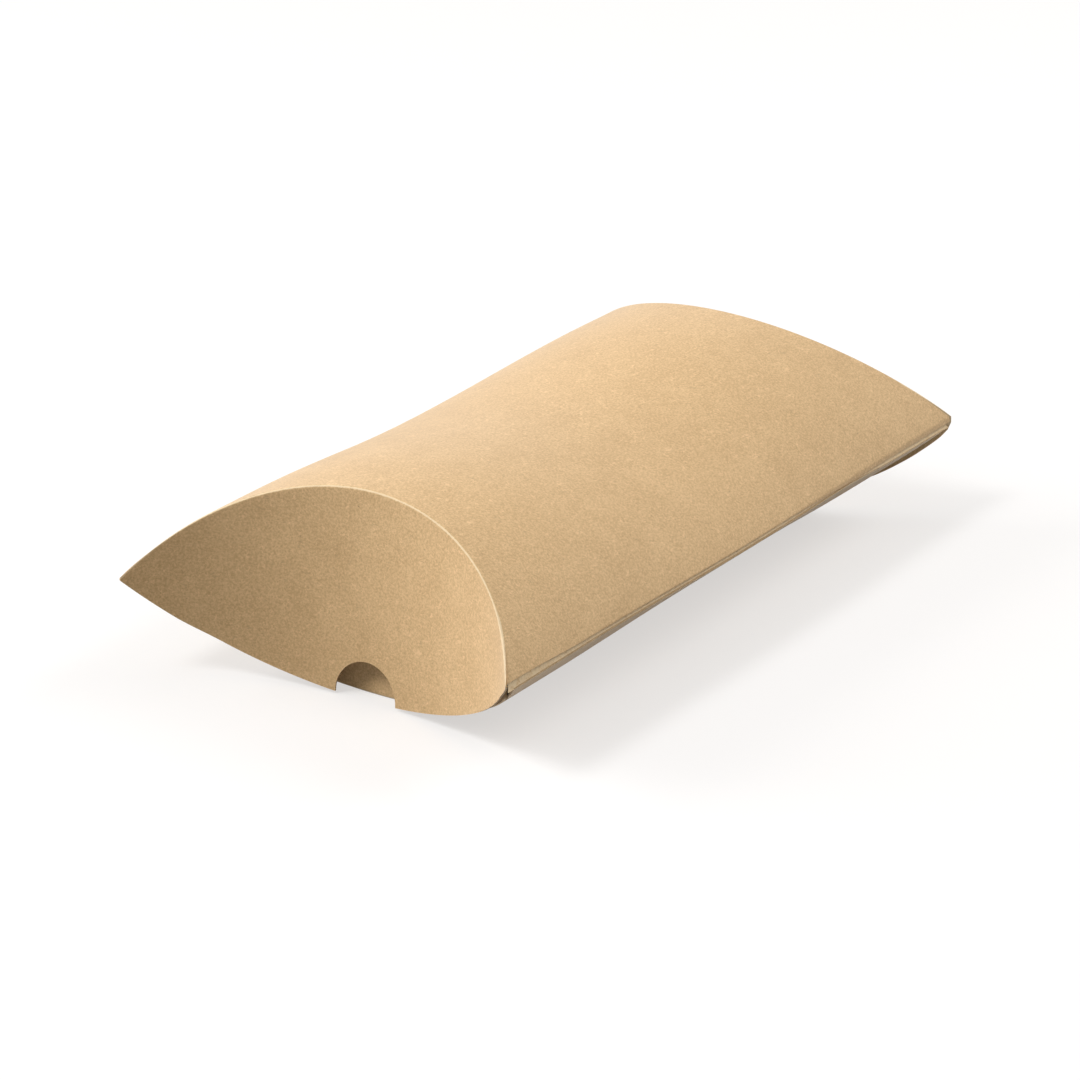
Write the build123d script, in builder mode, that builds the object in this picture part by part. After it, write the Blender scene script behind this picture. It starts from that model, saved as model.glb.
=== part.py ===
"""Kraft card pillow box, closed at both ends, lying on its bulged bottom panel.

The box is one folded sheet of card. Its two panels bulge apart between straight side folds, and each
end is scooped in by two flaps that fold over along curved creases. Every panel, flap, tab and crease
is cut from the same two shapes: a lens-shaped section that runs along Y, and the scooped outline that
the end flaps give the box from above. A depth is measured inwards from the outer face of the card.
The origin is on the table under the middle of the box, and the front is the end at -Y.
"""

import os
from math import cos, pi, sqrt

from build123d import *

# The whole box, in mm: tip to tip along Y, and from side fold to side fold at its ends
box_length = 205.0
end_width = 110.0

# How far a panel's crown stands from the side folds at the end creases
end_bulge = 26.0

# Halfway along, each crown sinks in and each side fold bows out
waist_sag = 4.4
waist_swell = 1.0

# The crown runs level for this length before it meets the end crease
crown_run = 8.0

# A panel's arc, and an outer flap's free edge, is part of an ellipse this many times wider than itself
arc_axis_share = 1.1
free_edge_axis_share = 1.06

# The card, the room between two layers of it, and the room at a flap's fold
card = 0.45
flap_gap = 0.3
hinge_gap = 0.3

# Pressed creases: width along an end fold, and rise beside a side fold
crease_width = 1.0
side_crease_rise = 0.5

# Seam: set-back of the top panel's cut edge above the fold, the tab behind it, and the adhesive film with
# a hair of room on both its faces
seam_rise = 1.0
tab_rise = 11.0
tab_end_room = 10.0
tab_taper = 9.0
glue_thickness = 0.1
glue_room = 0.02
glue_margin = 1.5

# Outer flaps: side room at the tips, height of the free edge above the table, how far that edge springs
# out in the middle, and the thumb notch
flap_tip_room = 1.85
flap_floor_gap = 0.2
flap_spring = 3.7
notch_radius = 8.7
notch_rise = 0.8

# Inner flaps: side room, and room under the top panel for the flap to swing past it
tuck_side_room = 6.0
tuck_top_room = 2.0

# The card is pressed flat this deep where it touches the table
foot_flat = 0.1

# Steps along the loft, and how far a cutting shape runs past what it cuts
loft_steps = 16
overrun = 2.0

half_length = box_length / 2
half_width = end_width / 2
waist_width = end_width + 2 * waist_swell
waist_bulge = end_bulge - waist_sag
box_height = 2 * end_bulge
edge_height = end_bulge - foot_flat
crown_end = half_length - end_bulge - crown_run
inner_depth = card + flap_gap
tab_depth = card + glue_thickness + 2 * glue_room

# Hinge lines of the front flaps at the crown of each crease: the outer one lies on the outer face,
# under the top panel's card, and the inner one in the middle of the flap's lower edge
outer_hinge_y = -(half_length - end_bulge)
outer_hinge_z = edge_height + end_bulge - card
inner_hinge_y = outer_hinge_y + inner_depth + card / 2
inner_hinge_z = edge_height - end_bulge + card + hinge_gap

# The front top crease lies in a plane that slants up and inwards from the tips at 45 degrees
crease_plane = Plane(origin=(0, -half_length, edge_height), x_dir=(1, 0, 0), z_dir=(0, -1, 1))
slant = sqrt(2)

up = 1
down = -1


def ellipse_sink(bulge, axis_share=arc_axis_share):
    """How far the ellipse's centre lies behind the chord of an arc that rises by bulge."""
    reach = sqrt(axis_share**2 - 1)
    return bulge * reach / (axis_share - reach)


def ellipse_radii(width, bulge, axis_share=arc_axis_share):
    """Half axes of the ellipse whose arc spans width and rises by bulge."""
    return axis_share * width / 2, bulge + ellipse_sink(bulge, axis_share)


def section_size(y):
    """Width and bulge of the box's section at y: it eases from the waist to the level crowns."""
    run = min(abs(y) / crown_end, 1)
    ease = (1 - cos(pi * run)) / 2
    width = waist_width + (end_width - waist_width) * ease
    bulge = waist_bulge + (end_bulge - waist_bulge) * ease
    return width, bulge


def band_section(y, depth, thickness, side):
    """Cross-section at y of one layer of card, from side fold to side fold, above or below them."""
    width, bulge = section_size(y)
    x_radius, z_radius = ellipse_radii(width, bulge)
    chord = (Align.CENTER, Align.MIN if side == up else Align.MAX)
    with BuildSketch(Plane(origin=(0, y, edge_height), x_dir=(1, 0, 0), z_dir=(0, -1, 0))) as section:
        with Locations((0, -side * ellipse_sink(bulge))):
            Ellipse(x_radius - depth, z_radius - depth)
            Ellipse(x_radius - depth - thickness, z_radius - depth - thickness, mode=Mode.SUBTRACT)
        Rectangle(2 * x_radius, z_radius, align=chord, mode=Mode.INTERSECT)
    return section.sketch


def band(depth, thickness, side):
    """One layer of card over or under the whole box, before its ends are cut."""
    reach = half_length + overrun
    step = 2 * reach / loft_steps
    with BuildPart() as layer:
        loft([band_section(i * step - reach, depth, thickness, side) for i in range(loft_steps + 1)])
    return layer.part


def plan_outline(depth):
    """The box seen from above, with both ends scooped out to a depth inside the flaps' outer face."""
    x_radius, y_radius = ellipse_radii(end_width, end_bulge)
    scoop_y = half_length + ellipse_sink(end_bulge)
    with BuildSketch() as outline:
        Rectangle(waist_width + 2 * overrun, box_length)
        with Locations((0, -scoop_y), (0, scoop_y)):
            Ellipse(x_radius + depth, y_radius + depth, mode=Mode.SUBTRACT)
    return outline.sketch


def inner_flap_plan():
    """The front inner flap seen from above: an arc of card behind the outer flap's place."""
    x_radius, y_radius = ellipse_radii(end_width, end_bulge)
    with BuildSketch() as wall:
        with Locations((0, -half_length - ellipse_sink(end_bulge))):
            Ellipse(x_radius + inner_depth + card, y_radius + inner_depth + card)
            Ellipse(x_radius + inner_depth, y_radius + inner_depth, mode=Mode.SUBTRACT)
        Rectangle(end_width, half_length, align=(Align.CENTER, Align.MAX), mode=Mode.INTERSECT)
    return wall.sketch


def crease_section():
    """The outer flap's card, cut along the slanting plane in which the front top crease lies."""
    x_radius, y_radius = ellipse_radii(end_width, end_bulge)
    with BuildSketch(crease_plane) as cut:
        with Locations((0, -slant * ellipse_sink(end_bulge))):
            Ellipse(x_radius + card, slant * (y_radius + card))
            Ellipse(x_radius, slant * y_radius, mode=Mode.SUBTRACT)
        Rectangle(end_width, slant * box_height, align=(Align.CENTER, Align.MIN), mode=Mode.INTERSECT)
    return cut.sketch


def under_crease():
    """What lies under the top crease, seen square to its slanting plane, with the hinge room off."""
    x_radius, y_radius = ellipse_radii(end_width, end_bulge)
    room = (card + hinge_gap) / 2
    with BuildSketch(crease_plane) as area:
        with Locations((0, -slant * ellipse_sink(end_bulge))):
            Ellipse(x_radius - room, slant * (y_radius - room))
    return area.sketch


def outer_flap_face():
    """Front view of an outer flap: straight sides down to the folds, then the bulged free edge."""
    width = end_width - 2 * flap_tip_room
    bulge = edge_height - flap_floor_gap
    x_radius, z_radius = ellipse_radii(width, bulge, free_edge_axis_share)
    with BuildSketch(Plane.XZ) as face:
        with Locations((0, edge_height + ellipse_sink(bulge, free_edge_axis_share))):
            Ellipse(x_radius, z_radius)
        with Locations((0, edge_height)):
            Rectangle(2 * x_radius, z_radius, align=(Align.CENTER, Align.MAX), mode=Mode.INTERSECT)
            Rectangle(width, end_bulge, align=(Align.CENTER, Align.MIN))
    return face.sketch


def thumb_notch():
    """Front view of the half-round notch in the free edge, with short straight sides."""
    with BuildSketch(Plane.XZ) as notch:
        with Locations((0, flap_floor_gap + notch_rise)):
            Circle(notch_radius)
            Rectangle(2 * notch_radius, notch_rise + overrun, align=(Align.CENTER, Align.MAX))
    return notch.sketch


def inner_flap_face():
    """Front view of an inner flap: it stands on the bottom panel and rounds off clear of the top."""
    x_radius, z_radius = ellipse_radii(end_width, end_bulge)
    foot_room = card + hinge_gap
    rise = outer_hinge_z - inner_hinge_z - tuck_top_room
    with BuildSketch(Plane.XZ) as face:
        with Locations((0, edge_height + ellipse_sink(end_bulge))):
            Ellipse(x_radius - foot_room, z_radius - foot_room)
        with Locations((0, inner_hinge_z)):
            Ellipse(half_width, rise, mode=Mode.INTERSECT)
            Rectangle(end_width - 2 * tuck_side_room, 2 * rise, mode=Mode.INTERSECT)
    return face.sketch


def tab_side_view(low, high, room, taper):
    """Side view of what is glued at the seam: a strip whose ends slant in towards its upper edge."""
    root = half_length - room
    with BuildSketch(Plane.YZ) as strip:
        with BuildLine():
            Polyline((-root, low), (root, low), (root - taper, high), (taper - root, high), close=True)
        make_face()
    return strip.sketch


top_card = band(0, card, up)
bottom_card = band(0, card, down)

# Top panel: ends at the pressed creases, and its cut edge stands a little above the seam fold
with BuildPart() as top_sheet:
    add(top_card)
    split(bisect_by=Plane.XY.offset(edge_height + side_crease_rise), keep=Keep.TOP)
    with Locations((half_width, 0, edge_height)):
        Box(
            half_width,
            2 * box_length,
            seam_rise,
            align=(Align.CENTER, Align.CENTER, Align.MIN),
            mode=Mode.SUBTRACT,
        )

with BuildPart() as top_panel:
    add(top_sheet.part)
    extrude(plan_outline(crease_width), amount=box_height, mode=Mode.INTERSECT)
top_panel.part.label = "top_panel"

# Bottom panel: pressed flat at its two lowest places, where the box stands on the table
with BuildPart() as bottom_sheet:
    add(bottom_card)
    split(bisect_by=Plane.XY.offset(edge_height - side_crease_rise), keep=Keep.BOTTOM)
    split(bisect_by=Plane.XY, keep=Keep.TOP)

with BuildPart() as bottom_panel:
    add(bottom_sheet.part)
    extrude(plan_outline(inner_depth + crease_width), amount=box_height, mode=Mode.INTERSECT)
bottom_panel.part.label = "bottom_panel"

# Side folds: a strip of both panels' card on each side of the box
with BuildPart() as left_side_crease:
    add(top_card)
    add(bottom_card)
    extrude(plan_outline(0), amount=box_height, mode=Mode.INTERSECT)
    split(bisect_by=Plane.XY.offset(edge_height + side_crease_rise), keep=Keep.BOTTOM)
    split(bisect_by=Plane.XY.offset(edge_height - side_crease_rise), keep=Keep.TOP)
    split(bisect_by=Plane.YZ, keep=Keep.BOTTOM)
left_side_crease.part.label = "left_side_crease"

# Seam fold: its upper lip turns in, along the tab only, to meet the tab behind the top panel
with BuildPart() as tab_root:
    add(band(0, tab_depth + card, up))
    split(bisect_by=Plane.YZ, keep=Keep.TOP)
    extrude(
        tab_side_view(edge_height, edge_height + card, tab_end_room, 0),
        amount=waist_width,
        mode=Mode.INTERSECT,
    )

with BuildPart() as seam_side_crease:
    add(top_card)
    add(bottom_card)
    extrude(plan_outline(0), amount=box_height, mode=Mode.INTERSECT)
    split(bisect_by=Plane.XY.offset(edge_height + card), keep=Keep.BOTTOM)
    split(bisect_by=Plane.XY.offset(edge_height - side_crease_rise), keep=Keep.TOP)
    split(bisect_by=Plane.YZ, keep=Keep.TOP)
    add(tab_root.part)
seam_side_crease.part.label = "seam_side_crease"

# Glue tab, inside the top panel with the adhesive between them
with BuildPart() as glue_tab:
    add(band(tab_depth, card, up))
    split(bisect_by=Plane.YZ, keep=Keep.TOP)
    extrude(
        tab_side_view(edge_height + card, edge_height + tab_rise, tab_end_room, tab_taper),
        amount=waist_width,
        mode=Mode.INTERSECT,
    )
glue_tab.part.label = "glue_tab"

with BuildPart() as glue_line:
    add(band(card + glue_room, glue_thickness, up))
    split(bisect_by=Plane.YZ, keep=Keep.TOP)
    extrude(
        tab_side_view(
            edge_height + seam_rise + glue_margin,
            edge_height + tab_rise - glue_margin,
            tab_end_room + tab_taper,
            0,
        ),
        amount=waist_width,
        mode=Mode.INTERSECT,
    )
glue_line.part.label = "glue_line"

# Pressed end creases: the last strip of each panel
with BuildPart() as front_outer_crease:
    add(top_sheet.part)
    split(bisect_by=Plane.XZ, keep=Keep.TOP)
    extrude(plan_outline(0), amount=box_height, mode=Mode.INTERSECT)
    extrude(plan_outline(crease_width), amount=box_height, mode=Mode.SUBTRACT)
front_outer_crease.part.label = "front_outer_crease"

with BuildPart() as front_inner_crease:
    add(bottom_sheet.part)
    split(bisect_by=Plane.XZ, keep=Keep.TOP)
    extrude(plan_outline(inner_depth), amount=box_height, mode=Mode.INTERSECT)
    extrude(plan_outline(inner_depth + crease_width), amount=box_height, mode=Mode.SUBTRACT)
front_inner_crease.part.label = "front_inner_crease"

# Outer flap: hangs from the top crease, covers the whole end with its free edge sprung out a little,
# and has a notch for the thumb
with BuildPart() as front_outer_flap:
    extrude(crease_section(), amount=2 * box_height, dir=(0, -flap_spring, -box_height), both=True)
    extrude(under_crease(), amount=-box_height, mode=Mode.INTERSECT)
    extrude(outer_flap_face(), amount=half_length, mode=Mode.INTERSECT)
    extrude(thumb_notch(), amount=half_length, mode=Mode.SUBTRACT)
front_outer_flap.part.label = "front_outer_flap"

# Inner flap: stands on the bottom crease, just behind the outer flap
with BuildPart() as front_inner_flap:
    extrude(inner_flap_plan(), amount=box_height)
    extrude(inner_flap_face(), amount=half_length, mode=Mode.INTERSECT)
front_inner_flap.part.label = "front_inner_flap"

# The rear end is the front end's mirror image
with BuildPart() as rear_outer_crease:
    mirror(front_outer_crease.part, about=Plane.XZ)
rear_outer_crease.part.label = "rear_outer_crease"

with BuildPart() as rear_inner_crease:
    mirror(front_inner_crease.part, about=Plane.XZ)
rear_inner_crease.part.label = "rear_inner_crease"

with BuildPart() as rear_outer_flap:
    mirror(front_outer_flap.part, about=Plane.XZ)
rear_outer_flap.part.label = "rear_outer_flap"

with BuildPart() as rear_inner_flap:
    mirror(front_inner_flap.part, about=Plane.XZ)
rear_inner_flap.part.label = "rear_inner_flap"

pieces = [
    top_panel,
    bottom_panel,
    left_side_crease,
    seam_side_crease,
    glue_tab,
    glue_line,
    front_outer_crease,
    front_inner_crease,
    front_outer_flap,
    front_inner_flap,
    rear_outer_crease,
    rear_inner_crease,
    rear_outer_flap,
    rear_inner_flap,
]

os.makedirs("parts", exist_ok=True)
for piece in pieces:
    export_step(piece.part, f"parts/{piece.part.label}.step")
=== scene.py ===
"""Looks of the kraft card pillow box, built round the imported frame.

Each part of the folded sheet is a closed mesh of card with its real thickness: the two panels, the two
side folds, the glue tab, and at each end an outer and an inner flap, which start at their curved creases.
They use the same formulas and sizes as the frame, in mm, and are turned into metres when a mesh is made.
Heights are measured from the plane of the side folds until then. The front end is at -Y, the seam at +X.
"""

import math

import bmesh
import bpy
import numpy as np
from mathutils import Matrix, Vector


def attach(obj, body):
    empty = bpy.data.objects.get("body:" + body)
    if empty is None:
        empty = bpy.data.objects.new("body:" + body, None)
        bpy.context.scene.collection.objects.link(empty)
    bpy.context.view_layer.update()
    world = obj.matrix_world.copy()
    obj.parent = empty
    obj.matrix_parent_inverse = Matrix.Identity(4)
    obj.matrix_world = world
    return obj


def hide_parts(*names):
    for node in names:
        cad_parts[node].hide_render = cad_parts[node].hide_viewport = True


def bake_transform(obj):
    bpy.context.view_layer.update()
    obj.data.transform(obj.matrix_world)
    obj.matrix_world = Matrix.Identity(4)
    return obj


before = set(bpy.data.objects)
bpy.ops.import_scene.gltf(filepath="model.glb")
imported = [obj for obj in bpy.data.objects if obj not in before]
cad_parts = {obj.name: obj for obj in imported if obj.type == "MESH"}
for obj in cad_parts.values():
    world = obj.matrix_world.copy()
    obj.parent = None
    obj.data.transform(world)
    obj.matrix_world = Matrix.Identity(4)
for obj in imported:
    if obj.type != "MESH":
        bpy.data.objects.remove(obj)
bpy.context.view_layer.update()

# Sizes of the box in mm, as in the frame
LENGTH = 205.0
WIDTH = 110.0
BULGE = 26.0
WAIST_SAG = 4.4
WAIST_SWELL = 1.0
CROWN_RUN = 8.0
ARC_SHARE = 1.1
FREE_EDGE_SHARE = 1.06
CARD = 0.45
FLAP_GAP = 0.3
GLUE = 0.1
GLUE_ROOM = 0.02
TAB_RISE = 11.0
TAB_END_ROOM = 10.0
TAB_TAPER = 9.0
TAB_INSET = 1.0
TIP_ROOM = 1.85
FLOOR_GAP = 0.2
FLAP_SPRING = 3.7
NOTCH_RADIUS = 8.7
NOTCH_RISE = 0.8
TUCK_SIDE_ROOM = 6.0
TUCK_TOP_ROOM = 2.0
HINGE_GAP = 0.3
FOOT_FLAT = 0.1

# Rounding of the folds in mm: legs of an end fold and of a side fold, and where a side fold's strip ends
END_FOLD_LEG = 0.7
SIDE_FOLD_LEG = 0.5
SIDE_FOLD_RISE = 1.2
FLAT_STRIP = 0.25
TIP_FOLD_SHARE = 0.14

# Clearances in mm: inner faces behind an end wall, and side folds behind the card of an outer flap
WALL_GAP = 0.02
FLAP_CLEARANCE = 0.05

# The top panel's cut edge is glued a little askew: places along the box, and its height over the folds' plane
LAP_PLACES = (-102.5, -90.0, -76.0, -60.0, -20.0, 20.0, 50.0, 102.5)
LAP_RISES = (0.45, 0.4, 0.0, -0.2, -0.15, -0.25, -1.1, -1.3)

# The seam's fold lies below the plane of the other fold: places along the box, and by how much
DROP_PLACES = (-102.5, -90.0, -60.0, 50.0, 70.0, 102.5)
FOLD_DROPS = (1.75, 1.6, 1.45, 1.6, 2.45, 2.7)
SEAM_FOLD_INSET = 0.05

# The band from that fold up to the joint is a curve: how far in and up its handle and its top end lie
BAND_LEAN = 0.62
BAND_TURN = 0.35
BAND_TOP = 0.1
BAND_INSET = 0.74

# The bottom panel beside the seam: the share of the half width where it leaves the arc, and its end slope
FLAT_FROM = 0.8
FLAT_STEEPER = 1.42

# The outer flaps run on nearly to the tips
TIP_END = 0.15

# The front one is cut straight from here to its seam-side tip
STRAIGHT_CUT_FROM = 49.0

# The left part of the free edges covers the end of the bottom panel, fully from the second place on
COVER_FROM = 36.0
COVER_TO = 46.0
COVER = 0.1

# The rear one has a longer corner on the seam side: places across, and how far it covers the bottom panel
CORNER_PLACES = (28.0, 31.0, 34.0, 37.0, 40.0, 45.0, 50.0, 53.0, 54.3, 54.85)
CORNER_COVERS = (-0.32, -0.28, -0.12, 0.16, 0.52, 1.02, 1.75, 2.4, 2.3, 1.2)

# Unevenness of the card: height of its waves in mm, and their share on the bottom panel
WAVE = 0.07
UNDERSIDE_WAVES = 0.4
WAVES_END_ROOM = 18.0
WAVES_SIDE_ROOM = 12.0

# Pale cracked fibres on the seam's band, partly painted light that lightens it and the bottom panel beside
# the seam where they lie in shade, and how this fades in along that bottom panel
BAND_CRACKS_AND_PAINTED_LIGHT = 0.7
PALE_WIDTH = 1.7
PALE_FROM = -75.0
PALE_TO = -35.0

# Painted shade: a dark line in the seam's joint, just below the cut edge, where the joint's shadow falls
SHADE_LINE_WIDTH = 0.26
SHADE_LINE_BELOW = 0.1
JUST_ABOVE = 0.01

# Pale cracked fibres along an end crease, wider towards the outer flaps' tips at the seam
CREASE_PALE = 0.5
CREASE_PALE_MORE = 4.0
MORE_FROM = 43.0
MORE_OVER = 9.0
PALE_REACH = 1.35

# Rows and columns of the meshes, and how evenly they are spread: 1 is even, and less is closer at the ends
PANEL_COLUMNS = 121
PANEL_ROWS = 161
PANEL_SPREAD_ACROSS = 0.6
PANEL_SPREAD_ALONG = 0.7
LAP_STEPS = 8
FOLD_ROWS = 181
FOLD_SPREAD = 0.8
BAND_STEPS = 16
TURN_STEPS = 9
LEG_STEPS = 4
CLIMB_STEPS = 6
TAB_COLUMNS = 15
TAB_ROWS = 121
OUTER_FLAP_COLUMNS = 111
INNER_FLAP_COLUMNS = 91
FLAP_SPREAD = 0.55
NOTCH_COLUMNS = 41
NOTCH_STEP = 0.02
NOTCH_CLEAR = 0.4
FLAP_BEND_ROWS = 8
FLAP_ROWS = 46
SHARP_ANGLE = math.radians(40)

# Derived sizes in mm
HALF_LENGTH = LENGTH / 2
HALF_WIDTH = WIDTH / 2
EDGE = BULGE - FOOT_FLAT
CROWN_END = HALF_LENGTH - BULGE - CROWN_RUN
INNER_DEPTH = CARD + FLAP_GAP
TAB_DEPTH = CARD + GLUE + 2 * GLUE_ROOM
FLAP_HALF = HALF_WIDTH - TIP_ROOM
TIP_HALF = HALF_WIDTH - TIP_END
BEHIND_FLAP = CARD + FLAP_CLEARANCE
TUCK_HALF = HALF_WIDTH - TUCK_SIDE_ROOM
HINGE_TOP = BULGE - CARD
TUCK_FOOT = CARD + HINGE_GAP - BULGE
TIP_LEG = TIP_FOLD_SHARE * END_FOLD_LEG


# Curves

def reach_of(share):
    """Height of the ellipse at the side fold, where the ellipse is share times wider than the arc."""
    return math.sqrt(share**2 - 1)


REACH = reach_of(ARC_SHARE)


def arc(t, share=ARC_SHARE):
    """Height of a panel's arc at t, as a share of its crown; t is 1 at the side fold."""
    reach = reach_of(share)
    return (np.sqrt(np.maximum(share**2 - t**2, 0)) - reach) / (share - reach)


def arc_place(height):
    """The t at which the arc has that height."""
    return np.sqrt(ARC_SHARE**2 - (height * (ARC_SHARE - REACH) + REACH) ** 2)


def arc_slope(half, bulge, t):
    """How steep a panel's arc is at t."""
    return bulge / half * t / np.sqrt(ARC_SHARE**2 - t**2) / (ARC_SHARE - REACH)


def section(y):
    """Half width and bulge of the box at y."""
    ease = (1 - np.cos(np.pi * np.minimum(np.abs(y) / CROWN_END, 1))) / 2
    return HALF_WIDTH + WAIST_SWELL * (1 - ease), BULGE - WAIST_SAG * (1 - ease)


def radii(half, bulge, depth):
    """Half axes of a layer's ellipse at a depth inside the outer face, and how far its centre is sunk."""
    sink = bulge * REACH / (ARC_SHARE - REACH)
    return ARC_SHARE * half - depth, bulge + sink - depth, sink


def layer_x(height, y, depth):
    """Distance from the middle of a layer at a height above the side folds."""
    rx, rz, sink = radii(*section(y), depth)
    return rx * np.sqrt(np.maximum(1 - ((height + sink) / rz) ** 2, 0))


def end_line(x, depth):
    """How far from the middle of the box an end wall stands at x, at a depth inside the outer flap."""
    rx, ry, sink = radii(HALF_WIDTH, BULGE, -depth)
    return HALF_LENGTH - (ry * np.sqrt(np.maximum(1 - (x / rx) ** 2, 0)) - sink)


def behind_wall(points, depth):
    """Points moved along the box, where they need it, to stay a little behind an end wall."""
    room = end_line(np.abs(points[..., 0]), depth) - WALL_GAP
    points[..., 1] = np.clip(points[..., 1], -room, room)
    return points


def fold_leg(x):
    """How far the rounding of an end fold reaches at x: less and less towards the tips."""
    return END_FOLD_LEG * np.maximum(TIP_FOLD_SHARE, 1 - (np.abs(x) / TIP_HALF) ** 6)


def lap_rise(y):
    """Height of the top panel's cut edge over the plane of the folds."""
    return np.interp(y, LAP_PLACES, LAP_RISES)


def fold_drop(y):
    """How far the seam's fold lies below the plane of the other fold."""
    return np.interp(y, DROP_PLACES, FOLD_DROPS)


def bezier(a, b, c, s):
    """Points of a quadratic curve from a to c."""
    return (1 - s) ** 2 * a + 2 * s * (1 - s) * b + s**2 * c


def smooth(s):
    """A share from 0 to 1, eased at both ends."""
    return s**2 * (3 - 2 * s)


def spread(count, evenness):
    """Steps from -1 to 1, closer together at both ends for an evenness under 1."""
    s = np.linspace(-1, 1, count)
    return np.sin(s * math.pi / 2) * (1 - evenness) + s * evenness


def uneven(x, y):
    """Slow waves of the card over a panel, which die out towards its folds."""
    wave = np.sin(x / 17.0 + 1.3) * np.cos(y / 23.0 + 0.4) + 0.6 * np.sin(x / 9.0 - y / 31.0 + 2.1)
    end_room = np.clip((end_line(x, 0) - np.abs(y)) / WAVES_END_ROOM, 0, 1)
    side_room = np.clip((HALF_WIDTH - np.abs(x)) / WAVES_SIDE_ROOM, 0, 1)
    return WAVE * wave * smooth(end_room * side_room)


# Meshes

def card_piece(name, outer, inner, materials, pale=None):
    """A closed mesh of card between two grids of points in mm, given as rows of columns."""
    rows, columns = outer.shape[:2]
    count = rows * columns
    points = np.concatenate([outer.reshape(-1, 3), inner.reshape(-1, 3)])
    points = (points + [0, 0, EDGE]) / 1000
    points[:, 2] = np.maximum(points[:, 2], 0)
    index = np.arange(count).reshape(rows, columns)
    faces = []
    for i in range(rows - 1):
        for j in range(columns - 1):
            a, b, c, d = index[i, j], index[i + 1, j], index[i + 1, j + 1], index[i, j + 1]
            faces.append((a, b, c, d))
            faces.append((d + count, c + count, b + count, a + count))
    face_sides = len(faces)
    rim = [index[:, 0][::-1], index[0, :], index[:, -1], index[-1, :][::-1]]
    for line in rim:
        for a, b in zip(line[:-1], line[1:]):
            faces.append((b, a, a + count, b + count))
    mesh = bpy.data.meshes.new(name)
    mesh.from_pydata([tuple(p) for p in points], [], [tuple(int(v) for v in f) for f in faces])
    rims = np.zeros(len(faces), int)
    rims[face_sides:] = 1
    mesh.polygons.foreach_set("material_index", rims)
    shade = mesh.attributes.new("pale", "FLOAT", "POINT")
    values = np.zeros((rows, columns)) if pale is None else pale
    shade.data.foreach_set("value", np.concatenate([values.ravel(), values.ravel()]).astype(np.float32))
    form = bmesh.new()
    form.from_mesh(mesh)
    bmesh.ops.recalc_face_normals(form, faces=form.faces)
    form.to_mesh(mesh)
    form.free()
    mesh.shade_smooth()
    mesh.set_sharp_from_angle(angle=SHARP_ANGLE)
    for material in materials:
        mesh.materials.append(material)
    obj = bpy.data.objects.new(name, mesh)
    bpy.context.scene.collection.objects.link(obj)
    return obj


def surface_normals(grid, outward):
    """Unit normals of a grid of points, turned to the side that a grid of directions points to."""
    across = np.gradient(grid, axis=0)
    along = np.gradient(grid, axis=1)
    normal = np.cross(across, along)
    normal /= np.linalg.norm(normal, axis=2, keepdims=True)
    flip = np.sign((normal * outward).sum(axis=2, keepdims=True))
    return normal * np.where(flip == 0, 1, flip)


def flatter_beside_seam(outer, t, half, bulge, stop):
    """The bottom panel runs flatter to the seam's low fold than its arc would."""
    from_x = FLAT_FROM * half
    from_z = -bulge * arc(FLAT_FROM)
    slope = arc_slope(half, bulge, FLAT_FROM)
    end_slope = slope * FLAT_STEEPER
    to_x = half - SEAM_FOLD_INSET
    drop = fold_drop(outer[:, :, 1])
    mid_x = (from_z + drop + end_slope * to_x - slope * from_x) / (end_slope - slope)
    mid_z = from_z + slope * (mid_x - from_x)
    s = np.clip((t - FLAT_FROM) / (stop - FLAT_FROM), 0, 1)
    beside = t > FLAT_FROM
    flat = outer.copy()
    flat[:, :, 0] = np.where(beside, bezier(from_x, mid_x, to_x, s), outer[:, :, 0])
    flat[:, :, 2] = np.where(beside, bezier(from_z, mid_z, -drop, s), outer[:, :, 2])
    return flat


def lap_columns(y):
    """The top panel's last columns, from where the side fold would start down to the cut edge."""
    shares = np.linspace(0, 1, LAP_STEPS)[1:, None]
    far = end_line(HALF_WIDTH, 0) - TIP_LEG - FLAT_STRIP
    lap_y = far * spread(PANEL_ROWS, PANEL_SPREAD_ALONG)[None, :]
    height = SIDE_FOLD_RISE + (lap_rise(lap_y) - SIDE_FOLD_RISE) * shares
    lap_y = y + (lap_y - y) * shares
    return np.stack([layer_x(np.maximum(height, 0), lap_y, 0), lap_y, height], axis=2)


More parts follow.
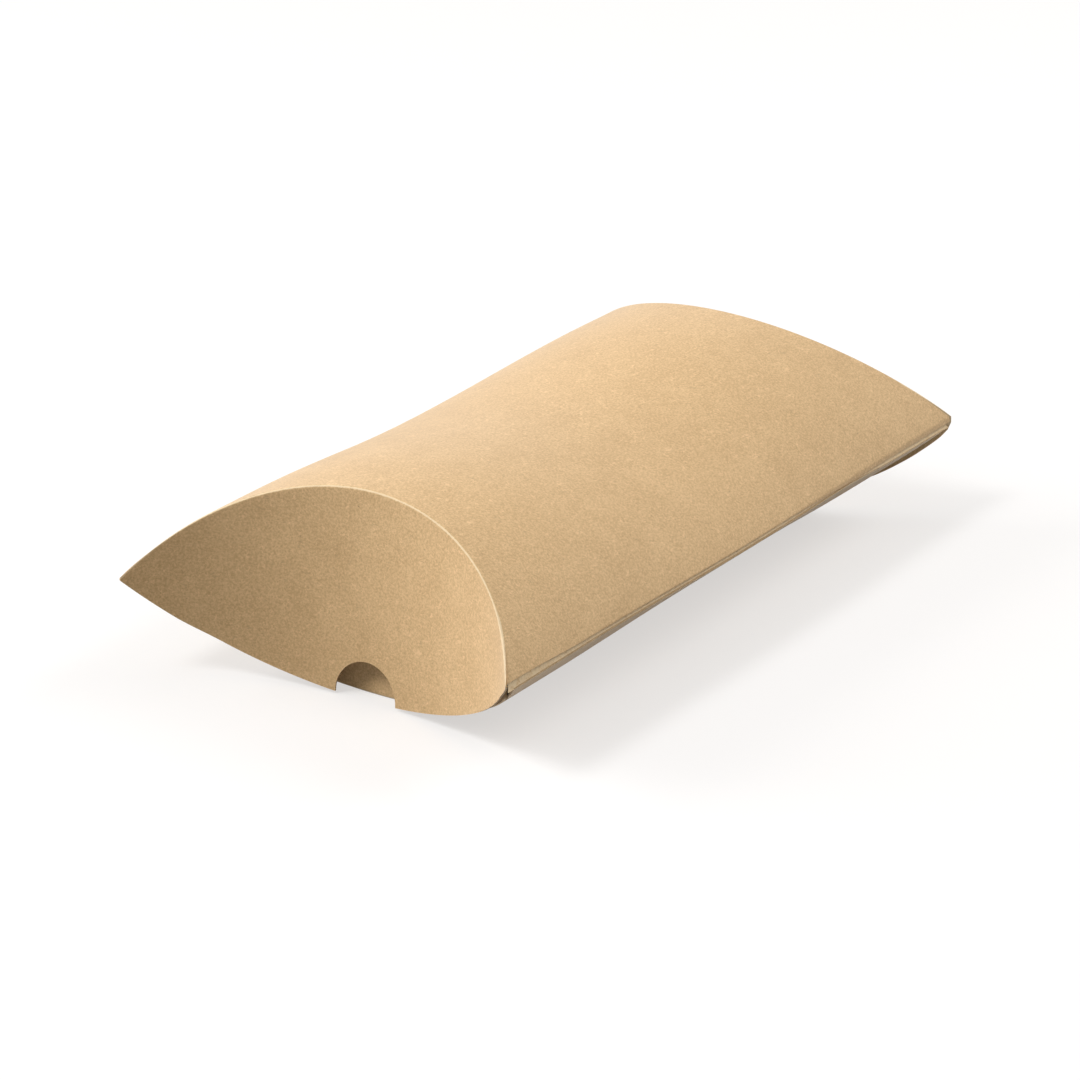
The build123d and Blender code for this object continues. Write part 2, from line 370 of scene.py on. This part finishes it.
def panel(name, side, materials):
    """The top panel (side 1) or the bottom panel (side -1)."""
    top = side == 1
    seam_rise = SIDE_FOLD_RISE if top else max(FOLD_DROPS)
    depth = 0 if top else INNER_DEPTH
    s = (spread(PANEL_COLUMNS, PANEL_SPREAD_ACROSS)[:, None] + 1) / 2
    start = -arc_place(SIDE_FOLD_RISE / BULGE)
    stop = arc_place(seam_rise / BULGE)
    end_x = (start + (stop - start) * s) * HALF_WIDTH
    room = end_line(end_x, depth) - fold_leg(end_x) - FLAT_STRIP
    if not top:
        room = np.where(np.abs(end_x) > TUCK_HALF, end_line(end_x, BEHIND_FLAP), room)
    y = room * spread(PANEL_ROWS, PANEL_SPREAD_ALONG)[None, :]
    half, bulge = section(y)
    start = -arc_place(SIDE_FOLD_RISE / bulge)
    stop = arc_place(seam_rise / bulge)
    t = start + (stop - start) * s
    outer = np.stack([t * half, y, side * bulge * arc(t)], axis=2)
    if top:
        outer = np.concatenate([outer, lap_columns(y[-1:])])
    else:
        outer = flatter_beside_seam(outer, t, half, bulge, stop)
    normal = surface_normals(outer, outer * [1, 0, 1])
    outer[:, :, 2] += side * uneven(outer[:, :, 0], outer[:, :, 1]) * (1 if top else UNDERSIDE_WAVES)
    pale = None
    # Beside the seam the bottom panel is paled: partly cracked fibres, partly painted light on a face that
    # lies in shade
    if not top:
        away = (half - SEAM_FOLD_INSET - outer[:, :, 0]) / PALE_WIDTH
        share = np.clip((y - PALE_FROM) / (PALE_TO - PALE_FROM), 0, 1)
        pale = share * np.clip(1.5 * BAND_CRACKS_AND_PAINTED_LIGHT - away, 0, BAND_CRACKS_AND_PAINTED_LIGHT)
    return card_piece(name, outer, behind_wall(outer - normal * CARD, depth + CARD), materials, pale)


def strip(name, outer, inner, materials, room=0, pale=None):
    """A side fold from its section's outer and inner lines, which are functions of y.

    The room is how far short of the ends each line of the strip stops.
    """
    at_end = outer(np.array([HALF_LENGTH]))[:, 0]
    reach = end_line(np.abs(at_end[:, 0]), BEHIND_FLAP) - TIP_LEG - room
    outside = []
    inside = []
    for i, far in enumerate(reach):
        y = far * spread(FOLD_ROWS, FOLD_SPREAD)
        for line, out in ((outer(y)[i], outside), (inner(y)[i], inside)):
            out.append(np.stack([line[:, 0], y, line[:, 1]], axis=1))
    return card_piece(name, np.array(outside), behind_wall(np.array(inside), BEHIND_FLAP), materials, pale)


def on_arc(height, y, side, depth=0.0):
    """A point of a section, on the right, at a height above the side folds, or below them for side -1."""
    x = layer_x(height, y, depth)
    return np.stack([x, side * height * np.ones_like(x)], axis=-1)


def tip_of(y):
    """The corner of a section, where the two panels' arcs meet."""
    return np.stack([section(y)[0], np.zeros_like(y)], axis=-1)


def line_between(a, b, count):
    return [a + (b - a) * s for s in np.linspace(0, 1, count)]


def slope_at(height, y):
    """Slope of the outer arc at a height above the side folds, as an angle's sine and cosine."""
    half, bulge = section(y)
    angle = np.arctan(arc_slope(half, bulge, arc_place(height / bulge)))
    return np.sin(angle), np.cos(angle)


def inside_point(height, y):
    """The inner face's point that lies straight behind the outer arc's point at a height."""
    sine, cosine = slope_at(height, y)
    return on_arc(height, y, 1) - CARD * np.stack([sine, cosine], axis=-1)


def inner_fold_room():
    """How far inside a side fold's tip the inner faces meet."""
    sine, _ = slope_at(0.0, np.array([0.0]))
    return CARD / float(sine[0])


def left_fold(name, materials):
    """The rounded fold between the two panels on the left."""
    turns = np.linspace(0, 1, TURN_STEPS)
    rises = np.linspace(SIDE_FOLD_RISE, SIDE_FOLD_LEG, LEG_STEPS)

    def outer(y):
        low = [on_arc(r, y, -1) for r in rises[:-1]]
        below = on_arc(SIDE_FOLD_LEG, y, -1)
        above = on_arc(SIDE_FOLD_LEG, y, 1)
        bend = [bezier(below, tip_of(y), above, s) for s in turns]
        high = [on_arc(r, y, 1) for r in rises[::-1][1:]]
        return np.array(low + bend + high) * [-1, 1]

    def inner(y):
        foot = inside_point(SIDE_FOLD_RISE, y)
        apex = tip_of(y) - [inner_fold_room(), 0]
        half_count = len(turns) // 2 + len(rises)
        rise = line_between(foot * [1, -1], apex, half_count)
        return np.array(rise + line_between(apex, foot, half_count)[1:]) * [-1, 1]

    return strip(name, outer, inner, materials)


def seam_fold(name, materials):
    """The fold on the seam side: up from the bottom panel, round, and in under the top panel."""
    turns = np.linspace(0, 1, TURN_STEPS)
    climbs = np.linspace(SIDE_FOLD_LEG, 2 * SIDE_FOLD_RISE, CLIMB_STEPS)
    count = BAND_STEPS + len(turns) - 1 + len(climbs) - 1

    def low_fold(inset, y):
        return np.stack([inset + 0 * y, fold_drop(y)], axis=-1)

    def band_from(fold, y, thick):
        """The band's line from the fold up to the joint, on the face at that thickness."""
        lean = tip_of(y) - low_fold(BAND_LEAN + thick, y) + [0, BAND_TURN]
        top = tip_of(y) + [-BAND_INSET - thick, BAND_TOP]
        return [bezier(fold, lean, top, s) for s in np.linspace(0, 1, BAND_STEPS)]

    def outer(y):
        band = band_from(tip_of(y) - low_fold(SEAM_FOLD_INSET, y), y, 0)
        tucked = on_arc(SIDE_FOLD_LEG, y, 1, TAB_DEPTH)
        corner = band[-1] * [1, 0] + [0, SIDE_FOLD_LEG]
        bend = [bezier(band[-1], corner, tucked, s) for s in turns[1:]]
        return np.array(band + bend + [on_arc(r, y, 1, TAB_DEPTH) for r in climbs[1:]])

    def inner(y):
        band = band_from(tip_of(y) - low_fold(SEAM_FOLD_INSET + CARD, y) + [0, CARD / 3], y, CARD)
        top = on_arc(climbs[-1], y, 1, TAB_DEPTH + CARD)
        return np.array(band + line_between(band[-1], top, count - len(band) + 1)[1:])

    tucked_in = BAND_STEPS + len(turns) - 3
    room = np.interp(np.arange(count), [tucked_in, count - 1], [0, TAB_END_ROOM])
    y = HALF_LENGTH * spread(FOLD_ROWS, FOLD_SPREAD)
    rise = outer(y)[:, :, 1]
    # Negative pale values make the dark line below the cut edge, painted shade of the joint; the band's pale
    # share is partly painted light
    line = np.clip(1 - np.abs(rise - lap_rise(y) + SHADE_LINE_BELOW) / SHADE_LINE_WIDTH, 0, 1)
    on_band = rise < BAND_TOP + JUST_ABOVE
    pale = np.where(on_band, BAND_CRACKS_AND_PAINTED_LIGHT * (1 - line) - line, 0)
    return strip(name, outer, inner, materials, room, pale)


def glue_tab(name, materials):
    """The tab inside the top panel; its ends slant in."""
    s = np.linspace(0, 1, TAB_COLUMNS)[:, None]
    low = 2 * SIDE_FOLD_RISE
    far = HALF_LENGTH - TAB_END_ROOM - TAB_TAPER * s - TAB_INSET
    y = far * np.linspace(-1, 1, TAB_ROWS)[None, :]
    height = low + (TAB_RISE - low) * s + 0 * y
    faces = [np.stack([layer_x(height, y, d), y, height], axis=2) for d in (TAB_DEPTH, TAB_DEPTH + CARD)]
    return card_piece(name, faces[0], faces[1], materials)


def flap_columns(half, count, notch):
    """Places across a flap, closer together at its ends and in its notch."""
    x = spread(count, FLAP_SPREAD) * half
    if not notch:
        return x
    lip = NOTCH_RADIUS * np.sin(np.linspace(-1, 1, NOTCH_COLUMNS) * math.pi / 2)
    beside = np.array([NOTCH_RADIUS + NOTCH_STEP])
    x = x[np.abs(x) > NOTCH_RADIUS + NOTCH_CLEAR]
    return np.sort(np.concatenate([x, lip, beside, -beside]))


def free_edge(x, side):
    """Height of the outer flap's free edge, thumb notch included, at the front (side -1) or the rear."""
    depth = EDGE - FLOOR_GAP
    panel_end = -BULGE * arc(x / HALF_WIDTH)
    edge = -depth * arc(np.minimum(np.abs(x) / FLAP_HALF, 1), FREE_EDGE_SHARE)
    if side == -1:
        join = -depth * arc(STRAIGHT_CUT_FROM / FLAP_HALF, FREE_EDGE_SHARE)
        straight = join * (HALF_WIDTH - x) / (HALF_WIDTH - STRAIGHT_CUT_FROM)
        edge = np.where(x > STRAIGHT_CUT_FROM, straight, edge)
    else:
        corner = panel_end - np.interp(x, CORNER_PLACES, CORNER_COVERS)
        edge = np.where(x > CORNER_PLACES[0], np.minimum(edge, corner), edge)
    covered = smooth(np.clip((-x - COVER_FROM) / (COVER_TO - COVER_FROM), 0, 1))
    edge = edge + (np.minimum(edge, panel_end - COVER) - edge) * covered
    notch = FLOOR_GAP + NOTCH_RISE - EDGE + np.sqrt(np.maximum(NOTCH_RADIUS**2 - x**2, 0))
    return np.where(np.abs(x) <= NOTCH_RADIUS, notch, edge)


def tuck_edge(x):
    """Height of the inner flap's rounded free edge."""
    rise = HINGE_TOP - TUCK_FOOT - TUCK_TOP_ROOM
    return TUCK_FOOT + rise * np.sqrt(1 - (x / HALF_WIDTH) ** 2)


def flap(name, side, outermost, materials):
    """A flap with its fold: side -1 is the front end; the outermost one hangs from the top panel."""
    half = TIP_HALF if outermost else TUCK_HALF
    x = flap_columns(half, OUTER_FLAP_COLUMNS if outermost else INNER_FLAP_COLUMNS, outermost)
    depth = 0 if outermost else INNER_DEPTH
    fall = -1 if outermost else 1
    crease = -fall * BULGE * arc(x / HALF_WIDTH)
    leg = fold_leg(x)
    wall = end_line(x, depth)
    lean = FLAP_SPRING / (2 * BULGE) if outermost else 0.0
    end = free_edge(x, side) if outermost else tuck_edge(x)
    drop = np.abs(crease - end)
    slope = np.gradient(wall, x)
    behind = np.stack([slope, -np.ones_like(x), np.zeros_like(x)], axis=1) / np.sqrt(1 + slope**2)[:, None]
    tilt = np.gradient(crease, x)
    under = np.stack([-fall * tilt, 0 * x, fall * np.ones_like(x)], axis=1) / np.sqrt(1 + tilt**2)[:, None]

    def place(back, down):
        """Points of the outer face: back from the crease along the panel, or down along the flap."""
        return np.stack([x, wall - back + lean * down, crease + fall * down], axis=1)

    outer = []
    inner = []
    for back in (leg + FLAT_STRIP, leg + FLAT_STRIP / 2):
        outer.append(place(back, 0))
        inner.append(place(back, 0) + under * CARD)
    start = place(leg, 0)
    corner = place(0 * x, 0 * x)
    stop = place(0 * x, leg)
    first = start + under * CARD
    last = stop + behind * CARD
    for s in np.linspace(0, 1, FLAP_BEND_ROWS):
        outer.append(bezier(start, corner, stop, s))
        inner.append(first + (last - first) * s)
    on_panel = len(inner)
    for s in np.linspace(0, 1, FLAP_ROWS)[1:]:
        down = leg + (drop - leg) * s
        outer.append(place(0, down))
        inner.append(place(0, down) + behind * CARD)
    outer = np.array(outer)
    inner = np.array(inner)
    inner[:on_panel] = behind_wall(inner[:on_panel], depth + CARD)
    pale = pale_crease(x, outer, wall, crease, outermost)
    for grid in (outer, inner):
        grid[:, :, 1] *= side
    return card_piece(name, outer, inner, materials, pale)


def pale_crease(x, outer, wall, crease, outermost):
    """How far the fibres are cracked pale, by distance from the crease; wider near the tip at the seam."""
    away = np.hypot(outer[:, :, 1] - wall, outer[:, :, 2] - crease)
    near_tip = np.clip((x - MORE_FROM) / MORE_OVER, 0, 1) ** 2
    width = CREASE_PALE + (CREASE_PALE_MORE * near_tip if outermost else 0)
    return np.clip(PALE_REACH - away / width, 0, 1)


# Nodes

def node(tree, kind, **values):
    """A node whose named inputs, or else its own settings, have these values."""
    made = tree.nodes.new(kind)
    for key, value in values.items():
        if key in made.inputs:
            made.inputs[key].default_value = value
        else:
            setattr(made, key, value)
    return made


def link(tree, source, target):
    tree.links.new(source, target)


def math_node(tree, operation, a, b=None, clamp=False):
    """A Math node whose inputs are sockets or numbers."""
    made = tree.nodes.new("ShaderNodeMath")
    made.operation = operation
    made.use_clamp = clamp
    for slot, value in zip(made.inputs, (a, b)):
        if isinstance(value, bpy.types.NodeSocket):
            link(tree, value, slot)
        elif value is not None:
            slot.default_value = value
    return made.outputs[0]


def add(tree, a, b):
    return math_node(tree, "ADD", a, b)


def times(tree, a, b):
    return math_node(tree, "MULTIPLY", a, b)


def ramp(tree, source, low, high):
    """0 at low and 1 at high, eased."""
    made = tree.nodes.new("ShaderNodeMapRange")
    made.interpolation_type = "SMOOTHSTEP"
    link(tree, source, made.inputs["Value"])
    made.inputs["From Min"].default_value = low
    made.inputs["From Max"].default_value = high
    return made.outputs["Result"]


def mix(tree, share, a, b):
    """Mixes two colours, each a socket or a colour."""
    made = tree.nodes.new("ShaderNodeMix")
    made.data_type = "RGBA"
    for slot, value in ((made.inputs[0], share), (made.inputs[6], a), (made.inputs[7], b)):
        if isinstance(value, bpy.types.NodeSocket):
            link(tree, value, slot)
        elif isinstance(value, (int, float)):
            slot.default_value = value
        else:
            slot.default_value = (*value, 1)
    return made.outputs[2]


def in_millimetres(tree):
    """The object's own coordinates in mm."""
    place = tree.nodes.new("ShaderNodeTexCoord")
    scaled = node(tree, "ShaderNodeVectorMath", operation="SCALE", Scale=1000.0)
    link(tree, place.outputs["Object"], scaled.inputs["Vector"])
    return scaled.outputs["Vector"]


def noise(tree, where, scale, detail, rough, seed):
    values = {"Scale": scale, "Detail": detail, "Roughness": rough, "W": seed}
    made = node(tree, "ShaderNodeTexNoise", noise_dimensions="4D", **values)
    link(tree, where, made.inputs["Vector"])
    return made.outputs["Fac"]


def turned(tree, where, angles, scale):
    """Coordinates turned and then stretched."""
    first = node(tree, "ShaderNodeMapping", Rotation=angles)
    link(tree, where, first.inputs["Vector"])
    second = node(tree, "ShaderNodeMapping", Scale=scale)
    link(tree, first.outputs["Vector"], second.inputs["Vector"])
    return second.outputs["Vector"]


def seen_rays(tree):
    """1 for rays that show a surface as background: from the camera, or mirrored or through glass."""
    paths = tree.nodes.new("ShaderNodeLightPath")
    seen = math_node(tree, "MAXIMUM", paths.outputs["Is Camera Ray"], paths.outputs["Is Glossy Ray"])
    return math_node(tree, "MAXIMUM", seen, paths.outputs["Is Transmission Ray"])


# Materials

# Base colour of the board, and the shares of it that its cut edges (darkened as painted shade), pulp, strands
# and flecks have, and the painted shade of its joint
KRAFT_COLOUR = (0.632, 0.421, 0.211)
CUT_EDGE_PAINTED_SHADE = 0.72
DARK_PULP = (0.81, 0.78, 0.73)
LIGHT_PULP = (1.16, 1.19, 1.24)
PALE_STRAND = 1.35
PALE_STRAND_MORE = 0.05
DARK_STRAND = 0.6
FLECK = 0.35
JOINT_PAINTED_SHADE = 0.4
# The pale colour of cracked fibres, also used as painted light on the seam's band
CRACKED_AND_PAINTED_LIGHT_COLOUR = (0.84, 0.67, 0.43)

# How strongly the noises set the tone, and the tones that are darkest and lightest
TONE_OF_PULP = 0.8
TONE_OF_CLOUDS = 0.14
TONE_OF_GRAIN = 0.2
DARKEST_TONE = 0.4
LIGHTEST_TONE = 0.74

# How strongly strands, flecks, cracks with the band's painted light, and the painted shade of the joint show
PALE_STRANDS_SHOW = 0.42
DARK_STRANDS_SHOW = 0.36
FLECKS_SHOW = 0.55
CRACKS_AND_PAINTED_LIGHT_SHOW = 0.8
PAINTED_SHADE_SHOWS = 0.8

# Noises of the board: features per mm, detail, roughness and seed
PULP_NOISE = (1.9, 3.0, 0.7, 1.0)
CLOUD_NOISE = (0.11, 2.0, 0.5, 4.0)
GRAIN_NOISE = (5.0, 2.0, 0.6, 9.0)
RAGGED_NOISE = (1.1, 4.0, 0.75, 15.0)
GLUE_NOISE = (0.8, 2.0, 0.5, 2.0)

# Strands of fibre: directions, seed and width; the first two are pale and the third is dark
STRANDS = (
    ((0.3, 0.2, 0.5), 11.0, 0.03),
    ((0.1, 0.4, 1.9), 23.0, 0.03),
    ((0.5, 0.1, 2.8), 37.0, 0.024),
)
STRAND_STRETCH = (0.16, 0.9, 0.9)
STRAND_BREAKS = (0.56, 0.66)

# Flecks: cells per mm, radius and share of the cells that have one; and where the ragged edge of the pale
# cracks and of the band's painted light starts
FLECKS = (0.3, 0.07, 0.12)
CRACKS_FROM = 0.95
CRACKS_EASE = 0.35

# Relief and shading of the board
RELIEF_OF_PULP = 0.5
RELIEF_OF_GRAIN = 0.35
RELIEF_OF_STRANDS = 0.25
RELIEF_OF_CRACKS = 0.6
BUMP_STRENGTH = 0.55
BUMP_DEPTH = 0.00004
CUT_BUMP = 1.6
SMOOTHEST = 0.66
ROUGHER = 0.16
IOR = 1.35
SHEEN = 0.35
SHEEN_ROUGHNESS = 0.4

# The dried glue
GLUE_DARK = (0.72, 0.68, 0.56)
GLUE_LIGHT = (0.86, 0.84, 0.76)
GLUE_ROUGHNESS = 0.35


def shares_of(colour, share):
    """A colour times one share, or times a share for each channel."""
    shares = share if isinstance(share, tuple) else (share,) * 3
    return tuple(c * s for c, s in zip(colour, shares))


def fibres(tree, where, angles, seed, width):
    """Thin strands along one direction: contour lines of a stretched noise, broken up by another."""
    field = noise(tree, turned(tree, where, angles, STRAND_STRETCH), 1.0, 1.0, 0.4, seed)
    off_line = math_node(tree, "ABSOLUTE", math_node(tree, "SUBTRACT", field, 0.5))
    strand = ramp(tree, off_line, width, width * 0.3)
    breaks = ramp(tree, noise(tree, where, 0.45, 1.0, 0.5, seed + 7), *STRAND_BREAKS)
    return times(tree, strand, breaks)


def specks(tree, where, scale, size, share):
    """Sparse small spots."""
    cells = node(tree, "ShaderNodeTexVoronoi", Scale=scale, Randomness=1.0)
    link(tree, where, cells.inputs["Vector"])
    spot = ramp(tree, cells.outputs["Distance"], size, size * 0.4)
    split = tree.nodes.new("ShaderNodeSeparateColor")
    link(tree, cells.outputs["Color"], split.inputs["Color"])
    chosen = math_node(tree, "GREATER_THAN", split.outputs["Red"], 1 - share)
    return times(tree, spot, chosen)


def kraft(name, base, bump=1.0, cut=False):
    """Uncoated kraft board: mottled pulp with strands, a few flecks and pale cracked folds; unless cut, the
    seam's band is paled partly as painted light and its joint darkened as painted shade.
    """
    material = bpy.data.materials.new(name)
    material.use_nodes = True
    tree = material.node_tree
    shader = tree.nodes["Principled BSDF"]
    where = in_millimetres(tree)

    pulp = noise(tree, where, *PULP_NOISE)
    clouds = noise(tree, where, *CLOUD_NOISE)
    grain = noise(tree, where, *GRAIN_NOISE)
    tone = add(tree, times(tree, pulp, TONE_OF_PULP), times(tree, clouds, TONE_OF_CLOUDS))
    tone = add(tree, tone, times(tree, grain, TONE_OF_GRAIN))
    tone = ramp(tree, tone, DARKEST_TONE, LIGHTEST_TONE)
    colour = mix(tree, tone, shares_of(base, DARK_PULP), shares_of(base, LIGHT_PULP))

    strands = [fibres(tree, where, *strand) for strand in STRANDS]
    pale_strands = math_node(tree, "MAXIMUM", strands[0], strands[1])
    pale_colour = tuple(min(c * PALE_STRAND + PALE_STRAND_MORE, 1) for c in base)
    colour = mix(tree, times(tree, pale_strands, PALE_STRANDS_SHOW), colour, pale_colour)
    colour = mix(tree, times(tree, strands[2], DARK_STRANDS_SHOW), colour, shares_of(base, DARK_STRAND))
    flecks = specks(tree, where, *FLECKS)
    colour = mix(tree, times(tree, flecks, FLECKS_SHOW), colour, shares_of(base, FLECK))

    height = add(tree, times(tree, pulp, RELIEF_OF_PULP), times(tree, grain, RELIEF_OF_GRAIN))
    height = add(tree, height, times(tree, pale_strands, RELIEF_OF_STRANDS))

    if not cut:
        fold = node(tree, "ShaderNodeAttribute", attribute_name="pale").outputs["Fac"]
        # Pale cracked fibres, which on the seam's band are partly painted light
        ragged = add(tree, fold, noise(tree, where, *RAGGED_NOISE))
        cracks_and_painted_light = ramp(tree, math_node(tree, "SUBTRACT", ragged, CRACKS_FROM), 0.0, CRACKS_EASE)
        colour = mix(tree, times(tree, cracks_and_painted_light, CRACKS_AND_PAINTED_LIGHT_SHOW), colour, CRACKED_AND_PAINTED_LIGHT_COLOUR)
        # Negative pale values darken the seam's joint: painted shade
        painted_joint_shade = math_node(tree, "MULTIPLY", fold, -PAINTED_SHADE_SHOWS, clamp=True)
        colour = mix(tree, painted_joint_shade, colour, shares_of(base, JOINT_PAINTED_SHADE))
        height = math_node(tree, "SUBTRACT", height, times(tree, cracks_and_painted_light, RELIEF_OF_CRACKS))

    link(tree, colour, shader.inputs["Base Color"])
    link(tree, add(tree, times(tree, pulp, ROUGHER), SMOOTHEST), shader.inputs["Roughness"])
    shader.inputs["IOR"].default_value = IOR
    shader.inputs["Sheen Weight"].default_value = SHEEN
    shader.inputs["Sheen Roughness"].default_value = SHEEN_ROUGHNESS
    surface = node(tree, "ShaderNodeBump", Strength=BUMP_STRENGTH * bump, Distance=BUMP_DEPTH)
    link(tree, height, surface.inputs["Height"])
    link(tree, surface.outputs["Normal"], shader.inputs["Normal"])
    return material


def dried_glue(name):
    """A pale film with faint streaks."""
    material = bpy.data.materials.new(name)
    material.use_nodes = True
    tree = material.node_tree
    shader = tree.nodes["Principled BSDF"]
    streaks = noise(tree, in_millimetres(tree), *GLUE_NOISE)
    link(tree, mix(tree, streaks, GLUE_DARK, GLUE_LIGHT), shader.inputs["Base Color"])
    shader.inputs["Roughness"].default_value = GLUE_ROUGHNESS
    return material


finishes = [
    kraft("kraft_board", KRAFT_COLOUR),
    # The cut edges are darker than the board: painted shade for the shadow along the card's rims
    kraft("kraft_cut_edge_painted_shade", shares_of(KRAFT_COLOUR, CUT_EDGE_PAINTED_SHADE), CUT_BUMP, cut=True),
]
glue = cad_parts["glue_line"]
glue.data.materials.clear()
glue.data.materials.append(dried_glue("adhesive_film"))

# Pieces that stay with the sleeve
for piece, node_name in (
    (panel("top_panel_board", 1, finishes), "top_panel"),
    (panel("bottom_panel_board", -1, finishes), "bottom_panel"),
    (left_fold("left_side_fold", finishes), "left_side_crease"),
    (seam_fold("seam_side_fold", finishes), "seam_side_crease"),
    (glue_tab("glue_tab_board", finishes), "glue_tab"),
):
    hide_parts(node_name)
    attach(piece, "sleeve")

# Flaps at both ends, outer and inner
for end_name, side in (("front", -1), ("rear", 1)):
    for layer, outermost, fall in (("outer", True, -1), ("inner", False, 1)):
        piece = flap(f"{end_name}_{layer}_flap_board", side, outermost, finishes)
        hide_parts(f"{end_name}_{layer}_flap", f"{end_name}_{layer}_crease")
        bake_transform(piece)


# Floor, light and camera

MIDDLE = Vector((0, 0, EDGE / 1000))

# Soft square lamps: name, direction from the middle of the box, distance and size in metres, watts
LAMPS = (
    ("left", (-0.847, -0.377, 0.375), 1.6, 1.0, 22.4),
    ("front", (-0.24, -0.55, 0.8), 1.4, 0.35, 8.2),
    ("overhead", (-0.1, 0.2, 1.0), 1.4, 0.9, 2.2),
    ("back", (0.5, 0.6, 0.62), 1.5, 0.8, 13.2),
)
for name, towards, distance, size, power in LAMPS:
    light = bpy.data.lights.new(name, "AREA")
    light.shape = "SQUARE"
    light.size = size
    light.energy = power
    lamp = bpy.data.objects.new(name, light)
    bpy.context.scene.collection.objects.link(lamp)
    direction = Vector(towards).normalized()
    lamp.location = MIDDLE + direction * distance
    lamp.rotation_mode = "QUATERNION"
    lamp.rotation_quaternion = direction.to_track_quat("Z", "Y")

# A white sky as background, which lights the box only a little
SKY_LIGHT = 0.19
world = bpy.data.worlds.new("studio")
bpy.context.scene.world = world
world.use_nodes = True
sky = world.node_tree
background = sky.nodes["Background"]
background.inputs["Color"].default_value = (1, 1, 1, 1)
strength = add(sky, times(sky, seen_rays(sky), 1 - SKY_LIGHT), SKY_LIGHT)
link(sky, strength, background.inputs["Strength"])

# A floor just below the box, which shows white where no shadow falls
FLOOR_SIZE = 6
FLOOR_HEIGHT = -0.00006
FLOOR_GREY = 0.35
FLOOR_GLOW = 0.615
FLOOR_TINT = (1, 0.975, 0.955, 1)
bpy.ops.mesh.primitive_plane_add(size=FLOOR_SIZE, location=(0, 0, FLOOR_HEIGHT))
floor = bpy.context.object
floor.name = "floor"
floor_material = bpy.data.materials.new("floor")
floor_material.use_nodes = True
ground = floor_material.node_tree
ground_shader = ground.nodes["Principled BSDF"]
ground_shader.inputs["Base Color"].default_value = (FLOOR_GREY, FLOOR_GREY, FLOOR_GREY, 1)
ground_shader.inputs["Roughness"].default_value = 0.9
ground_shader.inputs["Specular IOR Level"].default_value = 0.1
ground_shader.inputs["Emission Color"].default_value = FLOOR_TINT
link(ground, times(ground, seen_rays(ground), FLOOR_GLOW), ground_shader.inputs["Emission Strength"])
floor.data.materials.append(floor_material)

# The camera, from a fit to the photograph: degrees, and distances in widths of the box
AZIMUTH = math.radians(33.925)
ELEVATION = math.radians(22.4)
DISTANCE = 9.172
SHIFT_RIGHT = -0.0357
SHIFT_UP = -0.1037
FOCAL_PIXELS = 4080.5
FRAME_PIXELS = 1080
SENSOR_MM = 36.0
right = Vector((math.cos(AZIMUTH), math.sin(AZIMUTH), 0))
level = math.cos(ELEVATION)
back = Vector((math.sin(AZIMUTH) * level, -math.cos(AZIMUTH) * level, math.sin(ELEVATION)))
up = back.cross(right)
offset = (right * SHIFT_RIGHT + up * SHIFT_UP + back * DISTANCE) * WIDTH / 1000
camera_data = bpy.data.cameras.new("camera")
camera_data.sensor_width = SENSOR_MM
camera_data.lens = FOCAL_PIXELS / FRAME_PIXELS * SENSOR_MM
camera_data.clip_start = 0.05
camera_data.clip_end = 20
camera = bpy.data.objects.new("camera", camera_data)
bpy.context.scene.collection.objects.link(camera)
turn = Matrix((right, up, back)).transposed().to_4x4()
camera.matrix_world = Matrix.Translation(MIDDLE + offset) @ turn
bpy.context.scene.camera = camera
bpy.context.scene.view_settings.view_transform = "Standard"
